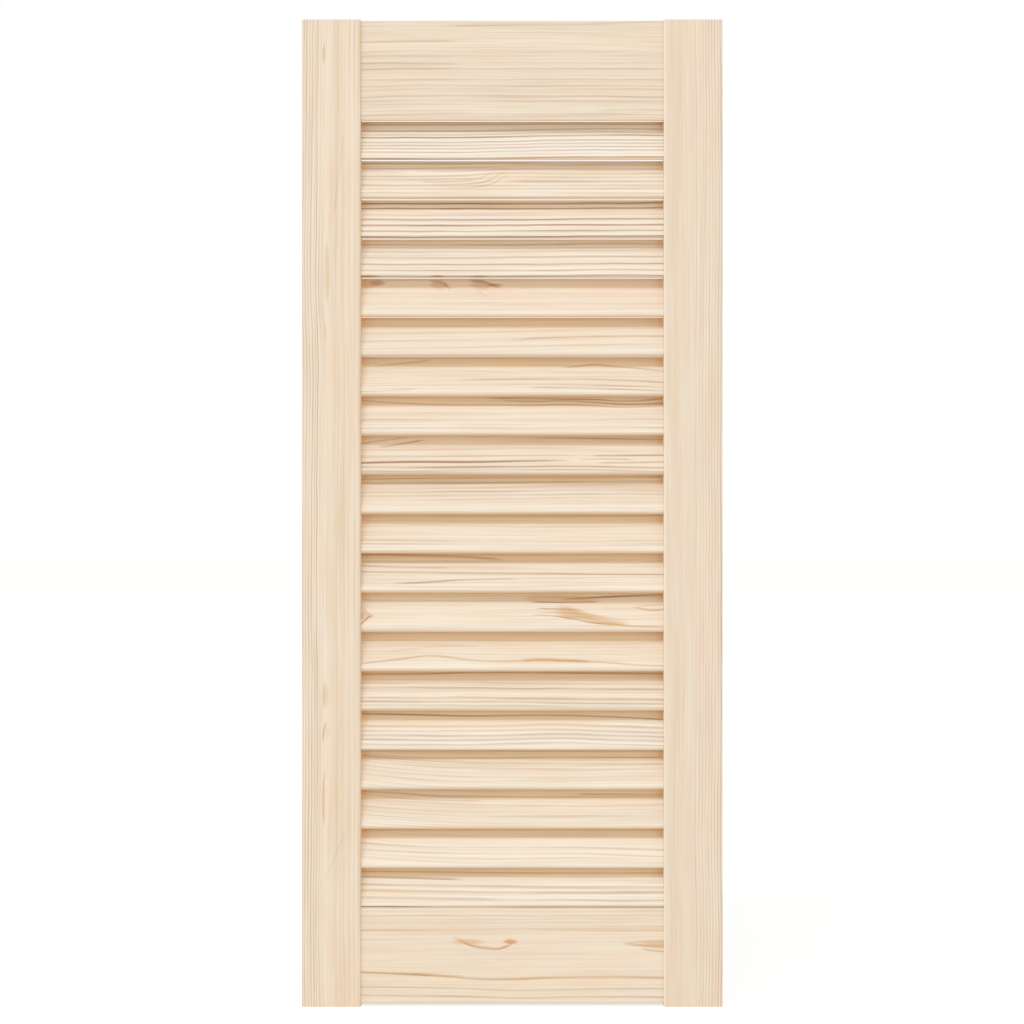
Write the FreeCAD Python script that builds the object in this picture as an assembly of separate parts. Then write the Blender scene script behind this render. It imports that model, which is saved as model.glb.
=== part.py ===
import FreeCAD, Part
import math
import os

# Louvred cabinet door: two stiles, two dowelled rails and a row of fixed slats.
# X runs across the door, -Y is its front and +Z is up, in millimetres.
# The origin is the middle of the door's base, halfway through its thickness.

# Whole door
door_width = 294.0
door_height = 690.0
door_thickness = 21.0

# Stiles, the full-height uprights
stile_width = 41.0
stile_arris_radius = 1.5

# Rails, thinner than the stiles and a little short of their ends
top_rail_height = 70.0
bottom_rail_height = 67.5
rail_thickness = 15.0
rail_arris_radius = 1.0
top_rail_inset = 0.25
bottom_rail_inset = 1.7
rail_lip_thickness = 3.0

# Slats with fully rounded long edges, let into the stiles
slat_count = 20
slat_thickness = 5.0
slat_overlap = 0.35
slat_setback = 0.4
slat_tuck = 0.7
slat_rebate_gap = 1.5
slat_groove_clearance = 0.15
slat_tenon_length = 9.0
mortise_side_clearance = 0.1
mortise_end_clearance = 0.3

# Fluted dowels, two in each joint of a rail and a stile
dowel_diameter = 8.0
dowel_length = 40.0
dowel_edge_distance = 17.5
dowel_chamfer = 1.0
dowel_flute_count = 16
dowel_flute_radius = 0.5
dowel_flute_depth = 0.3
dowel_side_clearance = 0.05
dowel_end_clearance = 0.5

# Rails' edges, and the opening between the stiles and the rails
top_rail_z = door_height - top_rail_inset
top_lip_z = top_rail_z - top_rail_height
bottom_rail_z = bottom_rail_inset
bottom_lip_z = bottom_rail_z + bottom_rail_height
opening_width = door_width - 2 * stile_width
opening_height = top_lip_z - bottom_lip_z

# Slats fill the opening evenly, each reaching a little above the foot of the one over it,
# and the end slats are tucked a little way into the rails
slat_row_height = opening_height + 2 * slat_tuck
slat_pitch = (slat_row_height - slat_overlap) / slat_count
slat_rise = slat_pitch + slat_overlap
slat_depth = rail_thickness - 2 * slat_setback
slat_length = opening_width + 2 * slat_tenon_length

x_axis = FreeCAD.Vector(1, 0, 0)


def slat_middle(number):
    """Height of a slat's middle, counting from 1 at the top."""
    top = top_lip_z + slat_tuck - (number - 1) * slat_pitch
    return top - slat_rise / 2


def slat_section(x, middle_z, clearance):
    """Slanted section with round ends, front edge low, grown by a clearance."""
    half_run = (slat_depth - slat_thickness) / 2
    half_rise = (slat_rise - slat_thickness) / 2
    radius = slat_thickness / 2 + clearance
    front = FreeCAD.Vector(x, -half_run, middle_z - half_rise)
    back = FreeCAD.Vector(x, half_run, middle_z + half_rise)
    slope = math.atan2(half_rise, half_run)
    along = FreeCAD.Vector(0, math.cos(slope), math.sin(slope)) * radius
    across = FreeCAD.Vector(0, -math.sin(slope), math.cos(slope)) * radius
    edges = [
        Part.LineSegment(front + across, back + across),
        Part.Arc(back + across, back + along, back - across),
        Part.LineSegment(back - across, front - across),
        Part.Arc(front - across, front - along, front + across),
    ]
    return Part.Face(Part.Wire([edge.toShape() for edge in edges]))


def make_slat(number):
    """One slat, long enough to enter a mortise in both stiles."""
    section = slat_section(-slat_length / 2, slat_middle(number), 0)
    return section.extrude(x_axis * slat_length)


def dowel_heights(low_z, high_z):
    """Heights of the lower and the upper dowel at a rail's end."""
    return [low_z + dowel_edge_distance, high_z - dowel_edge_distance]


top_dowels = dowel_heights(top_lip_z, top_rail_z)
bottom_dowels = dowel_heights(bottom_rail_z, bottom_lip_z)


def dowel_holes(joint_x, inward):
    """Holes for every dowel on one side of the door, drilled from the joint along inward."""
    radius = dowel_diameter / 2 + dowel_side_clearance
    depth = dowel_length / 2 + dowel_end_clearance
    return [
        Part.makeCylinder(radius, depth, FreeCAD.Vector(joint_x, 0, z), x_axis * inward)
        for z in top_dowels + bottom_dowels
    ]


def make_stile(side):
    """A stile with eased long arrises; side is -1 for the left and 1 for the right."""
    inner_x = side * opening_width / 2
    low_x = min(inner_x, inner_x + side * stile_width)
    corner = FreeCAD.Vector(low_x, -door_thickness / 2, 0)
    stile = Part.makeBox(stile_width, door_thickness, door_height, corner)
    long_edges = [edge for edge in stile.Edges if abs(edge.tangentAt(0).z) > 0.5]
    stile = stile.makeFillet(stile_arris_radius, long_edges)
    mortise_depth = slat_tenon_length + mortise_end_clearance
    cuts = dowel_holes(inner_x, side)
    for number in range(1, slat_count + 1):
        mouth = slat_section(inner_x, slat_middle(number), mortise_side_clearance)
        cuts.append(mouth.extrude(x_axis * side * mortise_depth))
    return stile.cut(cuts)


def make_rail(outline, eased_count):
    """A rail from its section's corners, the first few of them eased, drilled for its dowels."""
    left_x = -opening_width / 2
    corners = [FreeCAD.Vector(left_x, y, z) for y, z in outline]
    rail = Part.Face(Part.makePolygon(corners + corners[:1])).extrude(x_axis * opening_width)
    eased_edges = [
        edge
        for edge in rail.Edges
        if abs(edge.tangentAt(0).x) > 0.5
        and any(edge.Vertexes[0].Point.sub(corner).cross(x_axis).Length < 0.001
                for corner in corners[:eased_count])
    ]
    rail = rail.makeFillet(rail_arris_radius, eased_edges)
    return rail.cut(dowel_holes(left_x, 1) + dowel_holes(-left_x, -1))


def make_top_rail():
    """The top rail, rebated behind a front lip to clear the first slat."""
    front = -rail_thickness / 2
    back = rail_thickness / 2
    lip = front + rail_lip_thickness
    rebate_z = top_lip_z + slat_tuck + slat_rebate_gap
    outline = [
        (back, rebate_z),
        (back, top_rail_z),
        (front, top_rail_z),
        (front, top_lip_z),
        (lip, top_lip_z),
        (lip, rebate_z),
    ]
    return make_rail(outline, 4)


def make_bottom_rail():
    """The bottom rail, grooved along its top edge to bed the last slat."""
    front = -rail_thickness / 2
    back = rail_thickness / 2
    outline = [
        (front, bottom_rail_z),
        (back, bottom_rail_z),
        (back, bottom_lip_z),
        (front, bottom_lip_z),
    ]
    bed = slat_section(-opening_width / 2, slat_middle(slat_count), slat_groove_clearance)
    return make_rail(outline, 3).cut(bed.extrude(x_axis * opening_width))


def make_dowel(side, z):
    """A fluted dowel with chamfered ends, half in the stile and half in the rail."""
    radius = dowel_diameter / 2
    start = FreeCAD.Vector(side * opening_width / 2 - dowel_length / 2, 0, z)
    dowel = Part.makeCylinder(radius, dowel_length, start, x_axis)
    rims = [edge for edge in dowel.Edges if isinstance(edge.Curve, Part.Circle)]
    dowel = dowel.makeChamfer(dowel_chamfer, rims)
    flutes = []
    flute_reach = radius - dowel_flute_depth + dowel_flute_radius
    for index in range(dowel_flute_count):
        angle = 2 * math.pi * index / dowel_flute_count
        offset = FreeCAD.Vector(0, math.cos(angle), math.sin(angle)) * flute_reach
        flutes.append(Part.makeCylinder(dowel_flute_radius, dowel_length, start + offset, x_axis))
    return dowel.cut(flutes)


def make_parts():
    """Every piece of the door by its name."""
    parts = {
        "left_stile": make_stile(-1),
        "right_stile": make_stile(1),
        "top_rail": make_top_rail(),
        "bottom_rail": make_bottom_rail(),
    }
    for number in range(1, slat_count + 1):
        parts[f"slat_{number:02d}"] = make_slat(number)
    for rail, heights in (("top", top_dowels), ("bottom", bottom_dowels)):
        for side_name, side in (("left", -1), ("right", 1)):
            for place, z in zip(("lower", "upper"), heights):
                parts[f"dowel_{rail}_{side_name}_{place}"] = make_dowel(side, z)
    return parts


os.makedirs("parts", exist_ok=True)
for name, shape in make_parts().items():
    shape.exportStep(f"parts/{name}.step")
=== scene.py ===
import math
from dataclasses import dataclass, field

import bpy
from mathutils import Matrix, Vector


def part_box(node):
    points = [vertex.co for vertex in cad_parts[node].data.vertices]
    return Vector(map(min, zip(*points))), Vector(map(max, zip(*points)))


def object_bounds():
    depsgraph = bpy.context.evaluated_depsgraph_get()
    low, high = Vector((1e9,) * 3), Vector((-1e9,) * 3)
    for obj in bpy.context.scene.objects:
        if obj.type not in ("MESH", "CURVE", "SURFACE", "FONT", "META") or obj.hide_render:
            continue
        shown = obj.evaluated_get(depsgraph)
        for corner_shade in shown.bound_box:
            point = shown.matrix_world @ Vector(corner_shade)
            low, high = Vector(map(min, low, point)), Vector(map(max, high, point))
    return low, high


# Louvred cabinet door in bare pine: the CAD solids dressed with procedural wood.
# The scene is in metres. Places on a board are in millimetres from its middle:
# u along the grain, v across it and w out of the front face.

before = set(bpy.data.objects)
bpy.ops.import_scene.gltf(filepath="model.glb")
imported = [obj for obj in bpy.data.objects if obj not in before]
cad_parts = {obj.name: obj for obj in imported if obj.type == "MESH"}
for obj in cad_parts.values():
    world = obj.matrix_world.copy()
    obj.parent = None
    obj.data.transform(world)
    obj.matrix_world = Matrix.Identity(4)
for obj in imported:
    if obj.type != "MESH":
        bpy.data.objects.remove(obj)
cad_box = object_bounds()
scene = bpy.context.scene
scene.view_settings.view_transform = "Standard"
mm_per_metre = 1000

# Camera, square to the door and level with its middle
image_pixels = 1024
pixel_size = 0.6988e-3
camera_distance = 2.0
camera_x = -0.0002
camera_z = 0.3458
camera_tilt = math.radians(90)
sensor_width = 36.0

# Light: a wide, low strip of key light from the upper left front, and an even studio fill
key_strength = 0.80
key_distance = 20.0
key_width = 8.8
key_height = 1.6
key_toward = Vector((-0.30, -1.0, 1.16)).normalized()
key_colour = (0.93, 1.0, 1.11)
fill_strength = 0.785
fill_colour = (1.02, 1.0, 0.95, 1)
white = (1, 1, 1, 1)

# Floor: its size, the colour it reflects, and the shade and glow that it is seen with
floor_size = 20.0
floor_colour = (0.84, 0.83, 0.815, 1)
floor_shade = (0.26, 0.26, 0.26, 1)
floor_glow = 0.78

# The sRGB curve
srgb_steps = 255
srgb_offset = 0.055
srgb_power = 2.4


def srgb(red, green, blue):
    """A colour written in sRGB steps from 0 to 255, as the shader wants it."""
    shares = [(step / srgb_steps + srgb_offset) / (1 + srgb_offset) for step in (red, green, blue)]
    return tuple(share ** srgb_power for share in shares) + (1.0,)


# Wood colours. Golden, deep_shade, amber and honey also serve as painted shade on the slats, tan and
# latewood as painted shade along a stile's and a rail's edge, and the palest one as a painted highlight on
# the slats and a stile
cream = srgb(250, 236, 216)
straw = srgb(249, 231, 206)
peach = srgb(251, 228, 207)
honey = srgb(240, 200, 150)
latewood = srgb(174, 134, 97)
tan = srgb(222, 184, 140)
resin = srgb(214, 166, 114)
bark_brown = srgb(176, 128, 84)
rust = srgb(176, 118, 76)
amber = srgb(236, 176, 120)
palest_and_highlight = srgb(255, 245, 228)
golden = srgb(246, 215, 172)
deep_shade = srgb(220, 179, 136)
beech = srgb(214, 180, 142)
beech_dark = srgb(184, 142, 104)


@dataclass
class Stroke:
    """A line along the grain through points (u, v): its strength, how far it fades above and below, its
    colour. Most are grain lines, and a few are painted shade or a painted highlight along an edge.
    """
    points: list
    strength: float = 0.5
    above: float = 1.4
    below: float = 0.8
    colour: tuple = latewood


@dataclass
class Stain:
    """A resin streak or knot, pointed along the grain: its middle, half sizes, strength and colour."""
    u: float
    v: float
    half_u: float
    half_v: float
    strength: float = 0.6
    colour: tuple = tan


@dataclass
class Figure:
    """One board's grain.

    lines are growth lines as (v, strength), and bend pushes them across, as (u, push).
    body is the tone between them, and rise is how far below a line it starts to darken.
    wander is how far they stray, and steady is how strong they stay where they fade.
    peach, pale and fine are how pink, how pale and how finely streaked the board is.
    painted_shade is how strong the painted shade on the upper part of a slat's face is, and 0 for other
    boards.
    strokes are lines drawn one by one, and stains are resin streaks and knots.
    """
    lines: list
    bend: list = field(default_factory=list)
    body: float = 0.05
    rise: float = 2.0
    wander: float = 0.8
    steady: float = 0.5
    peach: float = 0.3
    pale: float = 0.0
    fine: float = 0.24
    painted_shade: float = 1.0
    strokes: list = field(default_factory=list)
    stains: list = field(default_factory=list)


@dataclass
class Board:
    """A board's middle in metres, its directions along and across the grain, its sizes in millimetres."""
    middle: Vector
    along: Vector
    across: Vector
    length: float
    width: float
    thickness: float


# Where slats and rails meet the stiles, and where the stiles end, along their grain
edge = 106
tip = 345

# Slats' grain and painted shade, counted from the top, with u to the right and v up the face
slat_figures = [
    Figure([(6.6, .6), (3.7, .45), (1.6, .95), (-2.2, .65), (-4.8, .5), (-7.4, .6), (-10.2, .65),
            (-12.6, .2), (-15.7, .8)],
           bend=[(-edge, 0), (-37, 0), (0, .6), (30, 1.3), (50, 1.6), (edge, 1.7)],
           body=0, rise=1.4, steady=.7, peach=.1, pale=.95, fine=.16, painted_shade=.5,
           # Its dark line near the top of the face is partly a grain line and mostly painted shade under
           # the top rail
           strokes=[Stroke([(-edge, 11.4), (-37, 11.4), (0, 11.8), (edge, 11.8)],
                           .6, 0.9, 0.9, bark_brown)]),
    Figure([(12, .25), (-5.3, .3), (-8.2, .3), (-11.4, .35), (-14.4, .3)], rise=1.4, painted_shade=.25,
           strokes=[Stroke([(-80, 4), (-10, 4.4)], .6, 4.0, 4.0, palest_and_highlight),
                    Stroke([(-edge, 11.7), (-37, 11.7), (0, 12.2), (24, 12.3)], .55, 0.9, 0.9, bark_brown),
                    Stroke([(-edge, 8.3), (-37, 8.3), (-10, 9.4), (10, 10.1), (edge, 10.3)], .3, 1.0, 1.0),
                    Stroke([(-70, 5.6), (-37, 5.9), (0, 7.3), (47, 7.1), (edge, 7.3)], .35, 1.0, 1.0),
                    Stroke([(-edge, 1.8), (-37, 2.3), (-8, 4), (47, 3.5), (edge, 3.9)], .4, 1.0, 1.0),
                    Stroke([(-edge, -.9), (-37, -.7), (-4, .9), (47, .5), (edge, 1)], .35),
                    Stroke([(-6, -2.2), (47, -2.4), (edge, -2.4)], .5),
                    Stroke([(-56, -5), (-26, -4), (-18, -2.5), (-12, 1), (-8, 4)], .45),
                    Stroke([(-64, -2.6), (-34, -2), (-24, -.4), (-18, 2.4), (-14, 5)], .3),
                    Stroke([(-46, -7.4), (-22, -6.2), (-13, -3.6), (-8, -.4), (-4, 2.4)], .35)]),
    Figure([(11.3, 1.05), (7.3, .85), (4.5, .15), (2.2, .2), (-1.4, .8), (-5.8, .85), (-10.3, .65),
            (-15.1, .9)],
           bend=[(-edge, 0), (-37, 0), (0, .2), (47, .4), (edge, .8)],
           body=.03, rise=1.5, wander=.4, steady=.85, peach=.6, pale=.5, painted_shade=.4),
    Figure([(10, .5), (7.4, .12), (4.6, .3), (-.1, .45), (-5.6, .75), (-10.3, .55), (-14.8, .6)],
           bend=[(-edge, 0), (0, 0), (47, .6), (edge, .7)],
           body=.04, rise=1.6, wander=.4, steady=.7, peach=.5, pale=.4, painted_shade=.5,
           stains=[Stain(-102, -15.3, 12, 1.5, .9, bark_brown),
                   Stain(-52.5, -15.3, 7, 1.5, .9, bark_brown),
                   Stain(-23, -15.3, 8, 1.5, .6, bark_brown)]),
    Figure([(2, .08), (-5, .12), (-9, .1)], body=.08, peach=.9, fine=.14, painted_shade=.55,
           strokes=[Stroke([(-56, 12.4), (-51, 11.8), (-47, 9.8), (-45, 6.8)], .8, 0.8, 3.0, bark_brown),
                    Stroke([(-29, 12.8), (-21, 12), (-14, 9.6), (-9, 9.2)], .85, 0.8, 3.0, bark_brown),
                    Stroke([(-15, 8.6), (-12, 7.4), (-10, 7)], .6, 0.6, 1.2, bark_brown),
                    Stroke([(-22, 3), (-20, .6)], .5, 0.6, 1.6, tan)],
           stains=[Stain(-104, 9.6, 12, 5.4, .6, amber), Stain(-95, 10.8, 8, 3.2, .7, bark_brown),
                   Stain(-51, 9.2, 9, 5.4, .55, resin), Stain(-21, 8.6, 11, 5, .5, resin)]),
    Figure([(9, .12), (4, .1), (-2, .1), (-8, .1)],
           bend=[(-edge, -2), (0, 0), (edge, 2)], body=.11, fine=.13,
           strokes=[Stroke([(0, -3.6), (22, -1.8), (edge, -.6)], .45)]),
    Figure([(3, .1)],
           strokes=[Stroke([(-14, 7), (30, 6)], .4, 3.0, 4.0, golden),
                    Stroke([(-96, 6.5), (-58, 11)], .5),
                    Stroke([(33, 5.6), (47, 6.6), (58, 8), (68, 6.8), (89, 4.9), (edge, 2.7)], .5),
                    Stroke([(-40, -4), (-9, -3.4), (40, -3.2), (80, -4.4), (edge, -5.8)], .5),
                    Stroke([(-18, -7.6), (30, -7.5), (70, -8.4), (edge, -10.2)], .65, 1.6, 0.8, resin),
                    Stroke([(10, -9.8), (60, -10.6), (edge, -12.4)], .6),
                    Stroke([(-edge, -13), (-68, -10.9)], .35)]),
    Figure([(.8, .15), (-3.6, .18), (-10.2, .28)], wander=1.4,
           strokes=[Stroke([(-24, 12.3), (5, 12.2), (40, 11.5), (61, 11.2), (75, 10.1), (edge, 12)],
                           .8, 1.0, 1.0, rust),
                    Stroke([(-10, 10.8), (16, 9.7), (33, 10.1), (61, 9), (79, 7.5), (edge, 8.6)],
                           .7, 1.0, 1.0, rust),
                    Stroke([(-edge, 10.6), (-50, 7.2), (-8, 7.1), (12, 6.9), (40, 7.4), (61, 6.3),
                            (79, 5.6), (edge, 6.7)], .6, 1.0, 1.0)]),
    Figure([(-10.3, .75), (-13.2, .4), (4, .15)], painted_shade=.7,
           bend=[(-edge, 0), (-37, .3), (0, .9), (47, .9), (86, -.1), (edge, -.3)],
           strokes=[Stroke([(-edge, 7.4), (-92, 9.8), (-74, 12.2)], .45),
                    Stroke([(-92, 4.8), (-75, 7.8), (-63, 10)], .7),
                    Stroke([(14, 12), (50, 11.8), (edge, 10.8)], .7, 0.8, 1.4, bark_brown),
                    Stroke([(-edge, -7.3), (-73, -6.6), (-29, -6.6), (5, -5.8), (43, -5.1)],
                           1.2, 1.8, 1.0),
                    Stroke([(46, -4.6), (66, -4.2), (84, -4.6)], .8, 1.0, 1.0, resin),
                    Stroke([(60, -7.2), (edge, -6.6)], .5, 1.2, 0.8),
                    Stroke([(-edge, -2.9), (-37, -2.1), (0, -1.6), (50, -1.3)], .35),
                    Stroke([(56, -1.7), (edge, -1.3)], .7)]),
    Figure([(3.9, .28), (.8, .32), (-2, .22), (-4.7, .15), (-8, .08)], peach=.1, painted_shade=.8,
           bend=[(-edge, 0), (-37, .45), (0, .75), (47, 1.3), (edge, 1.1)],
           strokes=[Stroke([(-edge, 10.4), (-37, 11.2), (0, 11.3), (47, 11.6), (edge, 12)],
                           .9, 1.0, 1.0, resin),
                    Stroke([(-edge, 7.2), (-37, 7.6), (0, 8), (47, 8.6), (edge, 8.7)], .6, 1.0, 1.0)]),
    Figure([(-6, .16), (-8.7, .16), (5, .1)],
           strokes=[Stroke([(-edge, 12), (0, 11.8), (edge, 12.4)], .5, 1.0, 1.2, resin)]),
    Figure([(8, .15)],
           strokes=[Stroke([(-edge, 12.8), (-60, 12.2), (-30, 11), (-2, 8.6)], .8, 1.0, 2.2, rust),
                    Stroke([(-edge, 4.1), (-44, 2.5)], .55),
                    Stroke([(-edge, -.5), (0, -1.6), (edge, -2.4)], .6),
                    Stroke([(-84, -9.2), (-58, -8), (-36, -6.5), (5, -5.7)], .7)]),
    Figure([(-11, .12)], painted_shade=.65,
           strokes=[Stroke([(34, 8.8), (50, 9.7), (64, 10.5), (89, 11.7), (edge, 12.1)],
                           1.0, 0.8, 1.6, bark_brown),
                    Stroke([(13, 6.5), (24, 6.3), (46, 6.2), (62, 6.7)], 1.0, 1.0, 0.6, bark_brown),
                    Stroke([(8, 9.4), (30, 9.2), (58, 7.8)], .7, 3.4, 3.4, resin),
                    Stroke([(32, .6), (38, .2), (45, -1.8), (56, -5.6), (70, -8.6)], 1.0, 5.0, 4.4, tan),
                    Stroke([(30, -3.9), (38, -5.2), (45, -6.4), (55, -8.7), (66, -9.8), (80, -10.9)],
                           1.0, 7.0, 0.6, tan),
                    Stroke([(18, 1.7), (33, 1.3), (46, .8)], .9, 0.9, 0.9, resin),
                    Stroke([(20, -1), (34, -1.3), (46, -2.4), (62, -3.8)], .8, 0.9, 0.9, resin),
                    Stroke([(36, -3), (48, -4.4), (60, -7)], .5, 0.8, 1.2, resin),
                    Stroke([(14, -3.3), (28, -3.8), (38, -5.4), (45, -6.7), (56, -9), (67, -10)],
                           .8, 1.0, 0.6, bark_brown),
                    Stroke([(58, -9.3), (78, -10.9), (89, -11.7), (edge, -12.6)], .8, 1.2, 0.8, resin),
                    Stroke([(86, 2.7), (96, 4), (edge, 4.4)], .6, 0.8, 0.8, resin),
                    Stroke([(86, 2.4), (93, .8), (100, .2), (edge, 1)], .9, 1.4, 0.6, resin),
                    Stroke([(-edge, -10.4), (-102.5, -7), (-100, -4.4)], .9, 2.4, 0.4, bark_brown),
                    Stroke([(-edge, 3.4), (-103, .6), (-100, -3)], .5, 0.6, 3.0, tan)],
           stains=[Stain(-107, -3.4, 10, 7, .5)]),
    Figure([(5, .12)],
           strokes=[Stroke([(-edge, -10), (-77, -6.5), (-58, -4.1), (-44, -5.2)], .5, 1.2, 1.0),
                    Stroke([(-66, -5), (-58, -4.3), (-48, -4.9), (-36, -6.7), (-17, -8.2), (6, -8),
                            (21, -7.4), (32, -7.8), (61, -9), (91, -11.2), (edge, -11.6)],
                           1.0, 1.4, 1.0, tan),
                    Stroke([(6, -7.9), (21, -7.3), (32, -7.6), (54, -8.7)], 1.0, 2.2, 1.4, resin),
                    Stroke([(-88, -1.4), (-72, .8), (-58, 2.2), (-44, 3), (-20, 2.8)],
                           .4, 1.2, 1.0, resin)]),
    Figure([(5, .2), (1, .45), (-6.5, .5), (-9.4, .45), (-12, .3)], bend=[(-edge, .8), (0, 0), (edge, -.7)],
           strokes=[Stroke([(-edge, 11.3), (-68, 11.4), (-30, 12.4), (30, 12.2), (edge, 11.6)],
                           .7, 1.2, 1.2, rust)]),
    Figure([(6, .15), (2.1, .48), (-1.3, .46), (-4.7, .5), (-7.7, .44), (-11.2, .38)],
           bend=[(-edge, .1), (-37, -.2), (0, .2), (30, .8), (60, -.2), (edge, -1.4)],
           body=.01, steady=.65, pale=.8, fine=.16,
           strokes=[Stroke([(-edge, 3.4), (0, 3), (70, 2)], .5, 6.0, 5.0, golden),
                    Stroke([(-edge, 11.1), (-68, 10.4), (-36, 9.5), (0, 9.7), (30, 9.9), (64, 9),
                            (edge, 6.9)], .9, 1.0, 1.2, bark_brown)]),
    Figure([(5, .1), (2.4, .12), (0, .25), (-3.2, .1), (-6, .12), (-9, .1)],
           bend=[(-edge, 6), (-70, 2.2), (-40, .6), (0, 0), (edge, .5)],
           strokes=[Stroke([(-edge, 12.8), (0, 12.8), (edge, 12.2)], .4, 0.8, 1.2, bark_brown),
                    Stroke([(-98, 10.2), (-70, 7.8), (-34, 7.3), (0, 7.6), (edge, 7.7)], .55, 1.0, 1.0),
                    Stroke([(-104, 9), (-66, 5.6), (-34, 3.8), (0, 3.4), (edge, 3)], .4, 1.0, 0.8)]),
    Figure([(1.8, .2), (-1, .12), (-3.4, .12), (-6.2, .14), (-9.8, .1)],
           bend=[(-edge, 5), (-70, 2), (-40, .6), (0, 0), (edge, .4)], painted_shade=.8,
           strokes=[Stroke([(-30, 7), (edge, 7)], .4, 3.0, 4.0, golden),
                    Stroke([(-104, 11.6), (-78, 10.2), (-58, 8.6), (-30, 7.9), (edge, 7.9)],
                           .5, 1.0, 1.0, bark_brown),
                    Stroke([(-98, 8.6), (-72, 6.2), (-50, 5.2), (-20, 4.8)], .5, 0.8, 1.0),
                    Stroke([(44, 9.6), (76, 9.4), (edge, 9)], .5, 1.0, 1.0, rust)]),
    Figure([(8, .12), (-8.4, .18), (-11.2, .16)], pale=.45, peach=.2, fine=.14,
           bend=[(-edge, 4.5), (-70, 1.6), (-40, .4), (0, 0), (60, .2), (edge, -1)],
           strokes=[Stroke([(-edge, 12.3), (0, 12.5), (edge, 12.6)], .6, 1.0, 1.4, resin),
                    Stroke([(-edge, 2.6), (-68, .2), (-37, -.6), (0, -.7), (47, -.8), (86, -1.9),
                            (edge, -2.6)], .35),
                    Stroke([(-edge, -2.4), (-85, -3.5), (-37, -4.9), (0, -5.1), (47, -5), (86, -6.7),
                            (edge, -7.4)], .3)]),
    Figure([(5.4, .15), (.7, .42), (-3.3, .45), (-8.8, .3), (-11.6, .08), (-15.8, .9)],
           bend=[(-edge, .7), (-85, .3), (-37, -.6), (0, -.95), (47, -1.2), (edge, -1.3)],
           body=.03, wander=.4, steady=.7, pale=.65,
           strokes=[Stroke([(-edge, -5), (-60, -6)], .4, 4.0, 4.0, golden),
                    Stroke([(-edge, 10.6), (-40, 10), (0, 9.5), (47, 9.3), (edge, 9.3)],
                           .5, 1.0, 1.0, rust),
                    Stroke([(-edge, -8.1), (-60, -8.9), (-10, -9.7)], .35),
                    Stroke([(-edge, 6.4), (-80, 5.8), (-37, 4.6)], .7)]),
]

# Stiles' grain, with u down the door and v to the right
left_stile_figure = Figure(
    [(-19.9, .42), (-17.8, .42), (-15.7, .4), (-13.6, .5), (-11.5, .3), (-10, .5), (-7.9, .22),
     (-5.7, .12), (4.2, .12), (8.9, .1)],
    bend=[(-tip, 1.2), (-273, .4), (-217, 0), (-162, -.7), (-edge, .85), (-50, .4), (6, 0), (174, .15),
          (230, -.2), (286, -.6), (tip, 0)],
    body=.07, rise=.7, wander=.3, steady=.6, fine=.15, painted_shade=0,
    strokes=[Stroke([(-tip, 4), (tip, 4)], .23, 16.0, 10.0, tan),
             Stroke([(-tip, 12.5), (0, 12.3), (tip, 12.7)], .14, 0.7, 0.7),
             Stroke([(-tip, 16.1), (0, 16.3), (tip, 16)], .22, 0.7, 0.7),
             # The tan line along the inner edge is painted shade where the edge turns away from the key
             # light
             Stroke([(-tip, 20.6), (tip, 20.6)], .4, 1.5, 4.5, tan),
             Stroke([(-266, 8.7), (-208, 1.7)], .2), Stroke([(225, 9), (256, -4.5)], .15),
             Stroke([(120, -4.8), (126, -5.8), (134, -5.4)], .7, 2.4, 0.6, tan),
             Stroke([(148, -3.6), (152, -5.6), (157, -5.8)], .9, 1.4, 0.6, bark_brown),
             Stroke([(182, -4), (188, -5.4), (200, -5.7), (217, -5.2)], .8, 1.4, 0.9, tan)],
    stains=[Stain(-321, -5.2, 10, 1.4, .9), Stain(-168, -3.1, 28, 2.8, .4), Stain(-126, -4.5, 8, 1, .4),
            Stain(128, -3.6, 9, 3, .35), Stain(153, -2.5, 7, 3.4, .35, honey),
            Stain(200, -5.2, 18, 2.6, .4, honey)],
)
right_stile_figure = Figure(
    [(2.1, .2), (4.9, .18), (7, .2), (9.1, .18), (11.2, .24), (13.3, .28), (15.4, .36), (17.5, .36),
     (19.4, .4)],
    bend=[(-tip, -.5), (-217, .6), (-edge, 0), (0, 0), (174, -.1), (230, -.7), (286, .6), (tip, 0)],
    body=.12, rise=.7, wander=.4, steady=.7, peach=.6, fine=.12, painted_shade=0,
    strokes=[Stroke([(-tip, -13), (tip, -13)], .1, 8.0, 6.0, tan),
             # The palest line along the inner edge is a painted highlight
             Stroke([(-tip, -20.2), (tip, -20.2)], .9, 1.2, 1.2, palest_and_highlight)],
)

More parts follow.
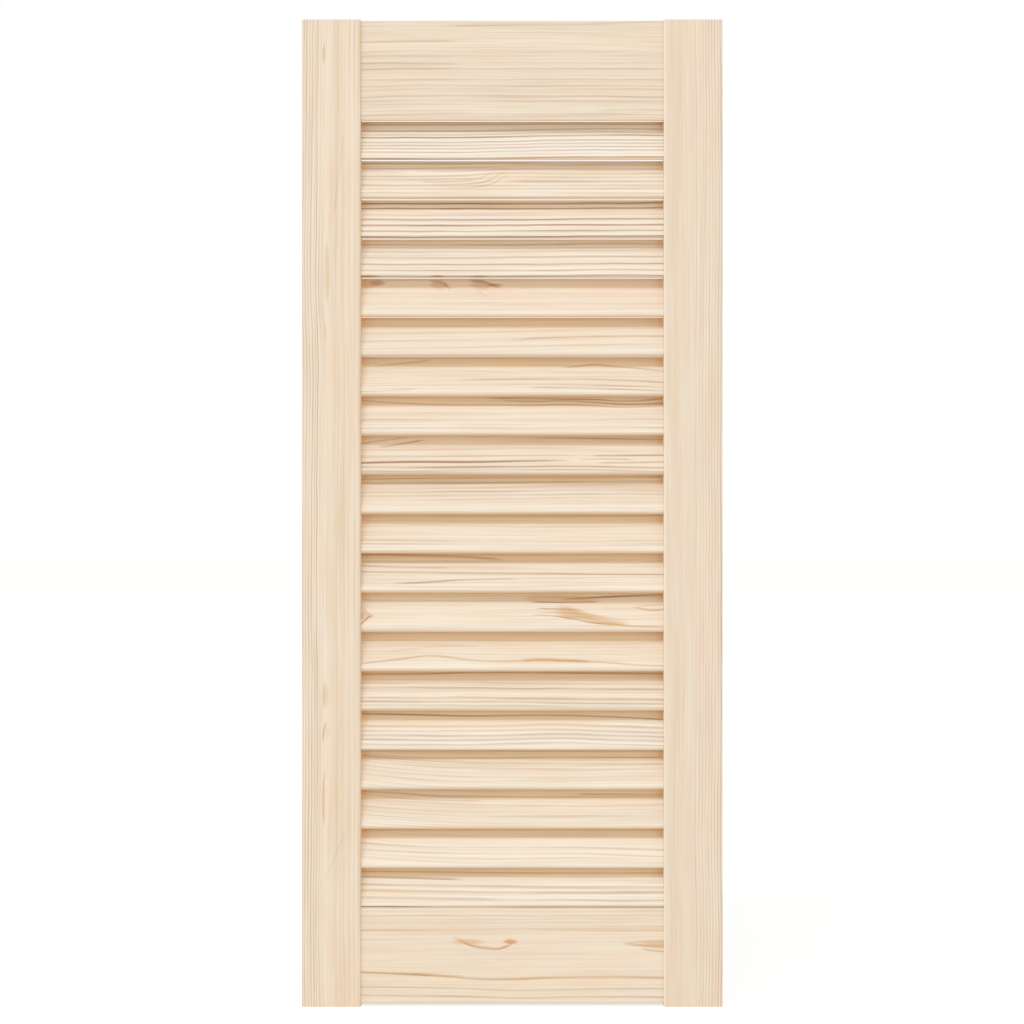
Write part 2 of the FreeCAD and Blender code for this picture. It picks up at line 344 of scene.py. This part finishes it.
# Rails' grain, with u to the right and v up
top_rail_figure = Figure(
    [(13.5, .12), (11, .11), (6, .1), (1.5, .34), (-6.1, .15), (-10.3, .2), (-12.9, .15), (-17.8, .25),
     (-20.8, .18), (-30.2, .22)],
    bend=[(-edge, -.7), (-66, 0), (0, 0), (86, -.3), (edge, -.4)],
    body=.14, rise=1.2, fine=.2, painted_shade=0,
    strokes=[Stroke([(-edge, 19.4), (-85, 19.9), (-40, 20.6)], .3),
             Stroke([(-edge, 4.7), (-85, 5), (-37, 4.5)], .3),
             Stroke([(-50, 31.4), (0, 31.6), (47, 32.3), (80, 33.6), (edge, 34.3)], .4, 1.0, 1.0),
             Stroke([(60, -28), (86, -27.8), (edge, -28.2)], .35)],
    stains=[Stain(6, 18.5, 34, 2.4, .4, peach)],
)
bottom_rail_figure = Figure(
    [(31, .16), (28.1, .2), (25.6, .14), (23.2, .16), (20.6, .1), (17.6, .12)],
    body=.03, rise=1.4, wander=.5, peach=.4, fine=.15, painted_shade=0,
    strokes=[Stroke([(-edge, -12), (-85, -12.7), (-68, -13.3), (-43, -15), (-28, -16.4), (-1, -16.9),
                     (22, -15.9), (41, -15.5), (70, -15.3), (edge, -15.7)], .75, 2.0, 1.2, resin),
             Stroke([(-edge, -12), (-85, -12.7), (-56, -14)], .6, 1.2, 0.9, bark_brown),
             Stroke([(-edge, -22), (-85, -22.3), (-37, -23.3), (0, -24.6), (47, -23.8), (edge, -23.4)], .4),
             Stroke([(-edge, -28), (-85, -28.1), (-37, -28.9), (0, -29.9), (47, -29.2), (edge, -29.4)], .5),
             # The dark line along the top edge is painted shade where the last slat meets it
             Stroke([(-edge, 33.7), (0, 33.5), (edge, 33.4)], .6, 0.6, 1.0),
             Stroke([(-edge, 17.6), (0, 18.4), (edge, 18.2)], .4, 2.4, 2.4, tan),
             Stroke([(-40, 11.8), (-34, 8.9), (-29, 6.7), (-16, 4.4), (-11, 4.1), (-5, 5.7), (0, 7.8),
                     (2, 11)], .9, 2.4, 0.8, resin),
             Stroke([(80, 8.6), (90, 10), (edge, 10.8)], .5, 0.8, 1.6, tan),
             Stroke([(79, 8.1), (92, 6.4), (edge, 5.6)], .6, 2.0, 1.0, resin),
             Stroke([(92, 4.4), (98, 3.4), (edge, 2.6)], .8, 1.0, 0.8, bark_brown)],
    stains=[Stain(-31, 9.6, 14, 3.4, .6), Stain(-1.5, 9.6, 6, 2.6, .9, resin),
            Stain(-12, 7.6, 14, 3, .3, peach), Stain(edge, 7.4, 26, 4.4, .6, resin)],
)

# How far each step of a seed moves the noise along the three axes
seed_shift = (7.3, 3.1, 5.7)

# Sockets of the mix node that take and give colours
mix_factor = 0
mix_under = 6
mix_over = 7
mix_result = 2


class Graph:
    """Short calls that add and join the nodes of one tree."""

    def __init__(self, tree):
        self.tree = tree
        tree.nodes.clear()

    def feed(self, socket, value):
        """Join a socket to another, or set its number."""
        if isinstance(value, bpy.types.NodeSocket):
            self.tree.links.new(value, socket)
        else:
            socket.default_value = value

    def add(self, kind, inputs, **settings):
        """A node with its settings and inputs."""
        node = self.tree.nodes.new(kind)
        for name, value in settings.items():
            setattr(node, name, value)
        for name, value in inputs.items():
            self.feed(node.inputs[name], value)
        return node

    def math(self, operation, *values):
        """A number worked out from others."""
        return self.add("ShaderNodeMath", dict(enumerate(values)), operation=operation).outputs[0]

    def vector(self, operation, *values):
        """A vector worked out from others."""
        return self.add("ShaderNodeVectorMath", dict(enumerate(values)), operation=operation).outputs[0]

    def dot(self, first, second):
        """How far one vector lies along another."""
        node = self.add("ShaderNodeVectorMath", {0: first, 1: second}, operation="DOT_PRODUCT")
        return node.outputs["Value"]

    def split(self, place):
        """The three numbers of a vector."""
        return self.add("ShaderNodeSeparateXYZ", {0: place}).outputs

    def join(self, x, y, z):
        """A vector from three numbers."""
        return self.add("ShaderNodeCombineXYZ", {0: x, 1: y, 2: z}).outputs[0]

    def ease(self, value, start, end, low=0.0, high=1.0):
        """A number eased from low to high as value goes from start to end."""
        inputs = {"Value": value, "From Min": start, "From Max": end, "To Min": low, "To Max": high}
        return self.add("ShaderNodeMapRange", inputs, interpolation_type="SMOOTHSTEP").outputs[0]

    def noise(self, place, sizes, seed, detail=2.0):
        """Noise from 0 to 1 whose grains have the given sizes along the three axes."""
        scale = tuple(1 / size for size in sizes)
        shift = tuple(seed * step for step in seed_shift)
        moved = self.vector("MULTIPLY_ADD", place, scale, shift)
        inputs = {"Vector": moved, "Scale": 1.0, "Detail": detail}
        return self.add("ShaderNodeTexNoise", inputs).outputs[0]

    def curve(self, value, points):
        """A smooth curve through points, both of whose numbers run from 0 to 1."""
        node = self.add("ShaderNodeFloatCurve", {"Value": value})
        node.mapping.extend = "HORIZONTAL"
        held = node.mapping.curves[0].points
        held[0].location = points[0]
        held[1].location = points[-1]
        for x, y in points[1:-1]:
            held.new(x, y)
        node.mapping.update()
        return node.outputs[0]

    def tint(self, factor, under, over):
        """One colour over another by a factor."""
        inputs = {mix_factor: factor, mix_under: under, mix_over: over}
        return self.add("ShaderNodeMix", inputs, data_type="RGBA").outputs[mix_result]


def new_material(name):
    """A material and the graph of its empty tree."""
    material = bpy.data.materials.new(name)
    material.use_nodes = True
    return material, Graph(material.node_tree)


# Noise in pine: the sizes of its grains along, across and out of the face
wander_grains = (150, 35, 35)
waver_grains = (34, 8, 8)
fade_grains = (70, 3, 60)
streak_grains = (110, 0.8, 40)
blotch_grains = (60, 9, 9)
warm_grains = (90, 14, 14)
fibre_grains = (9, 0.35, 0.35)
wander_detail = 1.0

# Levels of the noise between which its effect comes in
fade_levels = (0.3, 0.65)
streak_levels = (0.4, 0.7)
blotch_levels = (0.3, 0.7)
warm_levels = (0.35, 0.7)

# Seeds: each kind of noise counts on from its board's, and the boards' are a step apart
wander_seed, waver_seed, fade_seed, streak_seed, blotch_seed, warm_seed, fibre_seed = range(7)
seed_step = 11
frame_seed = 301

# Growth lines: their lean with depth, their waver, their contrast and the pale wood after each
ring_tilt = 0.7
ring_waver = 1.2
line_contrast = 1.05
drop_share = 0.4
pale_share = 0.3
strongest_fade = 1.1

# Width of board, in millimetres, that the curves and ramps across it can hold
curve_span = 80.0

# Drawn lines: how their ends taper, and how far out they run on to the board's end instead
taper_start = 4.0
taper_share = 0.15
open_share = 0.45

# Resin streaks and knots: how their outline wavers, frays and softens, and how streaks break them up
stain_waver = 1.6
stain_fray = 0.8
stain_softness = 0.8
stain_streaks = 0.8
stain_least = 0.6

# Sawn ends: how squarely a face has to look along the grain, and how dark it is then
end_levels = (0.6, 0.95)
end_darkness = 0.35

# Sheen and relief of pine
pine_roughness = 0.54
fibre_roughness = 0.16
latewood_gloss = 0.1
latewood_relief = 0.6
fibre_relief = 0.4
pine_bump = 0.25
bump_depth = 0.0002


def board_place(graph, board):
    """Places on a board, and how squarely its surface looks along the grain there."""
    out = board.along.cross(board.across)
    turn = Matrix((board.along, board.across, out)).transposed().to_euler()
    coordinates = graph.add("ShaderNodeTexCoord", {})
    inputs = {"Vector": coordinates.outputs["Object"], "Location": board.middle,
              "Rotation": turn, "Scale": (1 / mm_per_metre,) * 3}
    place = graph.add("ShaderNodeMapping", inputs, vector_type="TEXTURE").outputs[0]
    facing = graph.dot(coordinates.outputs["Normal"], board.along)
    return place, graph.math("ABSOLUTE", facing)


def bent_along(graph, along, points, length):
    """How far the grain is pushed across a board, along its length, by points (u, push)."""
    raised = [(u / length + 0.5, push / curve_span + 0.5) for u, push in points]
    return graph.math("MULTIPLY_ADD", graph.curve(along, raised), curve_span, -curve_span / 2)


def ring_place(graph, board, figure, flat_v, along, wander, waver):
    """Places across the rings, which wander slowly along the board, waver a little and bend."""
    ring = graph.math("MULTIPLY_ADD", wander, 2 * figure.wander, flat_v)
    ring = graph.math("MULTIPLY_ADD", waver, ring_waver, ring)
    ring = graph.math("SUBTRACT", ring, figure.wander + ring_waver / 2)
    if figure.bend:
        bend = bent_along(graph, along, figure.bend, board.length)
        ring = graph.math("SUBTRACT", ring, bend)
    return ring


def grey(level):
    """A colour that holds one number."""
    return (level, level, level, 1)


def growth_lines(graph, ring, figure):
    """Latewood lines: each darkens slowly across its ring and then ends sharply in pale wood."""
    share = graph.math("MULTIPLY_ADD", ring, 1 / curve_span, 0.5)
    node = graph.add("ShaderNodeValToRGB", {"Fac": share})
    stops = {0.0: figure.body, 1.0: figure.body}
    for v, strength in figure.lines:
        stops.setdefault((v - figure.rise) / curve_span + 0.5, figure.body)
        stops[v / curve_span + 0.5] = figure.body + strength * line_contrast
        stops.setdefault((v + figure.rise * drop_share) / curve_span + 0.5, figure.body * pale_share)
    elements = node.color_ramp.elements
    elements.remove(elements[1])
    elements[0].position = 0.0
    elements[0].color = grey(figure.body)
    for position in sorted(stops)[1:]:
        elements.new(position).color = grey(stops[position])
    return node.outputs[0]


def drawn_stroke(graph, stroke, along, length, u, v, fade):
    """How strongly a drawn line shows; its ends taper, unless they reach the board's own end."""
    off = graph.math("SUBTRACT", v, bent_along(graph, along, stroke.points, length))
    rise = graph.ease(off, -stroke.below, 0.0, 0.0, stroke.strength)
    line = graph.math("MULTIPLY", rise, graph.ease(off, 0.0, stroke.above, 1.0, 0.0))
    line = graph.math("MULTIPLY", line, fade)
    first = stroke.points[0][0]
    last = stroke.points[-1][0]
    taper = (last - first) * taper_share
    if first > -open_share * length:
        line = graph.math("MULTIPLY", line, graph.ease(u, first - taper_start, first + taper))
    if last < open_share * length:
        line = graph.math("MULTIPLY", line, graph.ease(u, last - taper, last + taper_start, 1.0, 0.0))
    return line


def stain_over(graph, stain, place, streaks, colour):
    """A resin streak or knot over the wood, broken up by fine streaks."""
    inputs = {"Vector": place, "Location": (stain.u, stain.v, 0),
              "Scale": (stain.half_u, stain.half_v, 1)}
    scaled = graph.add("ShaderNodeMapping", inputs, vector_type="TEXTURE").outputs[0]
    x, y, _ = graph.split(scaled)
    reach = graph.math("MULTIPLY_ADD", x, graph.math("MULTIPLY", x, -1.0), 1.0)
    inside = graph.math("SUBTRACT", reach, graph.math("ABSOLUTE", y))
    inside = graph.math("ADD", inside, graph.math("MULTIPLY_ADD", streaks, stain_fray, -stain_fray / 2))
    fill = graph.ease(inside, 0.0, stain_softness, 0.0, stain.strength)
    broken = graph.math("MULTIPLY_ADD", streaks, stain_streaks, stain_least)
    return graph.tint(graph.math("MULTIPLY", fill, broken), colour, stain.colour)


def pale_wood(graph, figure, place, seed):
    """The wood between the lines: blotches of three pale shades."""
    blotch = graph.noise(place, blotch_grains, seed + blotch_seed)
    colour = graph.tint(graph.ease(blotch, *blotch_levels), cream, straw)
    warm = graph.noise(place, warm_grains, seed + warm_seed)
    colour = graph.tint(graph.ease(warm, *warm_levels, 0.0, figure.peach), colour, peach)
    if figure.pale:
        colour = graph.tint(figure.pale, colour, palest_and_highlight)
    return colour


# Places on a slat's face where painted shade, golden and then deeper, stands for the shadow of the slat
# above, and where painted shade darkens its upper corners by the stiles
painted_shade_rise = (4.6, 7.2)
painted_shade_strength = 0.7
deep_shade_rise = (10.5, 13.5)
deep_shade_strength = 0.52
corner_shade_rise = (4.0, 9.0)
corner_shade_run = (98.0, edge)
corner_shade_strength = 0.4

# Heights above a slat's front edge between which a pale painted highlight runs along its nose
highlight_fade = (7.0, 4.0)
highlight_edge = (0.6, 1.4)
highlight_strength = 0.5

# Heights above that edge, and places through the slat, between which painted shade makes its underside warm
# and darker
under_shade_edge = (1.6, 0.6)
under_shade_depth = (2.1, 0.6)
under_shade_strength = 0.55


def face_painted_shade(graph, figure, u, v, front, colour):
    """A slat's face with painted shade, golden and then darker, towards the slat above and in its upper
    corners.
    """
    painted_band = graph.ease(v, *painted_shade_rise, 0.0, painted_shade_strength * figure.painted_shade)
    colour = graph.tint(graph.math("MULTIPLY", front, painted_band), colour, golden)
    deep_band = graph.ease(v, *deep_shade_rise, 0.0, deep_shade_strength * figure.painted_shade)
    colour = graph.tint(graph.math("MULTIPLY", front, deep_band), colour, deep_shade)
    ends = graph.ease(graph.math("ABSOLUTE", u), *corner_shade_run, 0.0, corner_shade_strength)
    corner_shade = graph.math("MULTIPLY", front, graph.ease(v, *corner_shade_rise))
    return graph.tint(graph.math("MULTIPLY", ends, corner_shade), colour, amber)


def above_edge(board, heights):
    """Places across a slat at two heights above its front edge."""
    return [height - board.width / 2 for height in heights]


def nose_highlight_and_shade(graph, board, v, w, front, colour):
    """A slat's front edge, with a painted highlight above it and painted shade underneath."""
    highlight = graph.ease(v, *above_edge(board, highlight_fade), 0.0, highlight_strength)
    highlight = graph.math("MULTIPLY", highlight, graph.ease(v, *above_edge(board, highlight_edge)))
    colour = graph.tint(graph.math("MULTIPLY", highlight, front), colour, palest_and_highlight)
    under = graph.ease(w, *under_shade_depth, 0.0, under_shade_strength)
    under = graph.math("MULTIPLY", graph.ease(v, *above_edge(board, under_shade_edge)), under)
    return graph.tint(under, colour, honey)


def wood_surface(graph, colour, roughness, relief, bump_strength):
    """The tree's output: wood with a sheen and a slight relief."""
    inputs = {"Strength": bump_strength, "Distance": bump_depth, "Height": relief}
    bump = graph.add("ShaderNodeBump", inputs).outputs[0]
    inputs = {"Base Color": colour, "Roughness": roughness, "Normal": bump}
    shader = graph.add("ShaderNodeBsdfPrincipled", inputs).outputs[0]
    graph.add("ShaderNodeOutputMaterial", {"Surface": shader})


def pine_material(name, board, figure, seed):
    """Bare pine for one board: growth lines, fibre, blotches, resin streaks, knots and sawn ends, with
    painted shade and highlights on slats and along some edges.
    """
    material, graph = new_material(name)
    place, end_facing = board_place(graph, board)
    u, v, w = graph.split(place)
    depth = graph.math("MULTIPLY_ADD", w, ring_tilt, -ring_tilt * board.thickness / 2)
    flat_v = graph.math("ADD", v, depth)
    along = graph.math("MULTIPLY_ADD", u, 1 / board.length, 0.5)

    # Rings, each stronger in some places than in others, and fine streaks along them
    wander = graph.noise(place, wander_grains, seed + wander_seed, wander_detail)
    waver = graph.noise(place, waver_grains, seed + waver_seed)
    ring = ring_place(graph, board, figure, flat_v, along, wander, waver)
    ringed = graph.join(u, ring, w)
    fade = graph.noise(ringed, fade_grains, seed + fade_seed)
    fade = graph.ease(fade, *fade_levels, figure.steady, strongest_fade)
    late = graph.math("MULTIPLY", growth_lines(graph, ring, figure), fade)
    streaks = graph.noise(ringed, streak_grains, seed + streak_seed)
    late = graph.math("ADD", late, graph.ease(streaks, *streak_levels, 0.0, figure.fine))

    # Pale wood, with painted shade and highlight where it is a slat's, and the rings over it
    colour = pale_wood(graph, figure, place, seed)
    if figure.painted_shade:
        front = graph.ease(w, 0.0, board.thickness / 2)
        colour = face_painted_shade(graph, figure, u, v, front, colour)
        colour = nose_highlight_and_shade(graph, board, v, w, front, colour)
    colour = graph.tint(late, colour, latewood)

    # Resin streaks, knots and drawn lines, a few of which are painted shade or highlight
    loose_v = graph.math("SUBTRACT", flat_v, stain_waver / 2)
    loose_v = graph.math("MULTIPLY_ADD", waver, stain_waver, loose_v)
    loose = graph.join(u, loose_v, 0)
    for stain in figure.stains:
        colour = stain_over(graph, stain, loose, streaks, colour)
    for stroke in figure.strokes:
        shown = drawn_stroke(graph, stroke, along, board.length, u, flat_v, fade)
        colour = graph.tint(shown, colour, stroke.colour)

    # Sawn ends are darker
    end = graph.ease(end_facing, *end_levels, 0.0, end_darkness)
    colour = graph.tint(end, colour, tan)

    # Fibres give the sheen and a slight relief
    fibre = graph.noise(place, fibre_grains, seed + fibre_seed)
    roughness = graph.math("MULTIPLY_ADD", fibre, fibre_roughness, pine_roughness)
    roughness = graph.math("MULTIPLY_ADD", late, -latewood_gloss, roughness)
    relief = graph.math("MULTIPLY", fibre, fibre_relief)
    relief = graph.math("MULTIPLY_ADD", late, latewood_relief, relief)
    wood_surface(graph, colour, roughness, relief, pine_bump)
    return material


# Beech: its flecks and clouds, with their sizes in metres, and its sheen and relief
fleck_grains = (0.004, 0.0005, 0.0005)
fleck_levels = (0.55, 0.7)
fleck_strength = 0.6
fleck_seed = 1
cloud_grains = (0.03, 0.004, 0.004)
cloud_strength = 0.5
cloud_seed = 2
beech_roughness = 0.5
fleck_roughness = 0.2
beech_bump = 0.3


def beech_material():
    """Beech for the dowels: fine dark flecks along the grain, over soft clouds."""
    material, graph = new_material("beech_dowel")
    place = graph.add("ShaderNodeTexCoord", {}).outputs["Object"]
    flecks = graph.noise(place, fleck_grains, fleck_seed)
    flecks = graph.ease(flecks, *fleck_levels, 0.0, fleck_strength)
    clouds = graph.noise(place, cloud_grains, cloud_seed)
    colour = graph.tint(graph.math("MULTIPLY", clouds, cloud_strength), beech, beech_dark)
    colour = graph.tint(flecks, colour, beech_dark)
    roughness = graph.math("MULTIPLY_ADD", flecks, fleck_roughness, beech_roughness)
    wood_surface(graph, colour, roughness, flecks, beech_bump)
    return material


# Directions, and the slats' thickness in metres, which with a slat's box gives its slope
right = Vector((1, 0, 0))
up = Vector((0, 0, 1))
slat_thickness = 0.005


def middle_and_size(name):
    """A CAD node's middle and size."""
    low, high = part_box(name)
    low = Vector(low)
    high = Vector(high)
    return (low + high) / 2, high - low


def make_board(middle, along, across, *sizes):
    """A board from its sizes along, across and through, in metres."""
    return Board(middle, along, across, *(size * mm_per_metre for size in sizes))


def slat_board(name):
    """A slat's grain runs across the door, and its face leans back from a low front edge."""
    middle, size = middle_and_size(name)
    run = size.y - slat_thickness
    rise = size.z - slat_thickness
    across = Vector((0, run, rise)).normalized()
    width = math.hypot(run, rise) + slat_thickness
    return make_board(middle, right, across, size.x, width, slat_thickness)


def rail_board(name):
    """A rail's grain runs across the door."""
    middle, size = middle_and_size(name)
    return make_board(middle, right, up, size.x, size.z, size.y)


def stile_board(name):
    """A stile's grain runs down the door."""
    middle, size = middle_and_size(name)
    return make_board(middle, -up, right, size.z, size.x, size.y)


def dress(name, material):
    """Give a CAD node its material."""
    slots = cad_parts[name].data.materials
    slots.clear()
    slots.append(material)


def dress_door():
    """Give every piece of the door its wood."""
    for number, figure in enumerate(slat_figures, 1):
        name = f"slat_{number:02d}"
        dress(name, pine_material(name, slat_board(name), figure, number * seed_step))
    frame_boards = [
        ("top_rail", rail_board, top_rail_figure),
        ("bottom_rail", rail_board, bottom_rail_figure),
        ("left_stile", stile_board, left_stile_figure),
        ("right_stile", stile_board, right_stile_figure),
    ]
    for index, (name, find_board, figure) in enumerate(frame_boards):
        dress(name, pine_material(name, find_board(name), figure, frame_seed + index * seed_step))
    dowel_wood = beech_material()
    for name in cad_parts:
        if name.startswith("dowel"):
            dress(name, dowel_wood)


def make_camera():
    """The camera, at the photograph's viewing angle."""
    data = bpy.data.cameras.new("camera")
    data.sensor_width = sensor_width
    data.lens = sensor_width * camera_distance / (image_pixels * pixel_size)
    camera = bpy.data.objects.new("camera", data)
    camera.location = (camera_x, cad_box[0].y - camera_distance, camera_z)
    camera.rotation_euler = (camera_tilt, 0, 0)
    scene.collection.objects.link(camera)
    scene.camera = camera


def make_key():
    """The key light: a far strip that keeps level edges' shadows crisp and upright ones' soft."""
    data = bpy.data.lights.new("key", "AREA")
    data.shape = "RECTANGLE"
    data.size = key_width
    data.size_y = key_height
    data.energy = key_strength * math.pi * key_distance ** 2
    data.color = key_colour
    key = bpy.data.objects.new("key", data)
    key.location = Vector((0, 0, camera_z)) + key_toward * key_distance
    key.rotation_euler = key_toward.to_track_quat("Z", "Y").to_euler()
    key.visible_camera = False
    scene.collection.objects.link(key)


def seen_or_lit(graph, seen, lit):
    """One shader for rays that show a thing or its reflection, and another for the light it gives."""
    path = graph.add("ShaderNodeLightPath", {}).outputs
    direct = graph.math("MAXIMUM", path["Is Camera Ray"], path["Is Glossy Ray"])
    direct = graph.math("MAXIMUM", direct, path["Is Transmission Ray"])
    inputs = {0: direct, 1: lit.outputs[0], 2: seen.outputs[0]}
    return graph.add("ShaderNodeMixShader", inputs).outputs[0]


def make_world():
    """An even fill light that is seen as plain white."""
    world = bpy.data.worlds.new("studio")
    scene.world = world
    world.use_nodes = True
    graph = Graph(world.node_tree)
    fill = graph.add("ShaderNodeBackground", {"Color": fill_colour, "Strength": fill_strength})
    plain = graph.add("ShaderNodeBackground", {"Color": white, "Strength": 1.0})
    graph.add("ShaderNodeOutputWorld", {"Surface": seen_or_lit(graph, plain, fill)})


def floor_material():
    """A plain pale floor, seen as white where it is lit and a little darker in shadow."""
    material, graph = new_material("floor")
    plain = graph.add("ShaderNodeBsdfDiffuse", {"Color": floor_colour})
    shade = graph.add("ShaderNodeBsdfDiffuse", {"Color": floor_shade})
    glow = graph.add("ShaderNodeEmission", {"Strength": floor_glow})
    pale = graph.add("ShaderNodeAddShader", {0: shade.outputs[0], 1: glow.outputs[0]})
    graph.add("ShaderNodeOutputMaterial", {"Surface": seen_or_lit(graph, pale, plain)})
    return material


def make_floor():
    """The floor that the door stands on."""
    z = cad_box[0].z
    corners = [(-floor_size, -floor_size, z), (floor_size, -floor_size, z),
               (floor_size, floor_size, z), (-floor_size, floor_size, z)]
    mesh = bpy.data.meshes.new("floor")
    mesh.from_pydata(corners, [], [(0, 1, 2, 3)])
    mesh.materials.append(floor_material())
    floor = bpy.data.objects.new("floor", mesh)
    scene.collection.objects.link(floor)


dress_door()
make_camera()
make_key()
make_world()
make_floor()
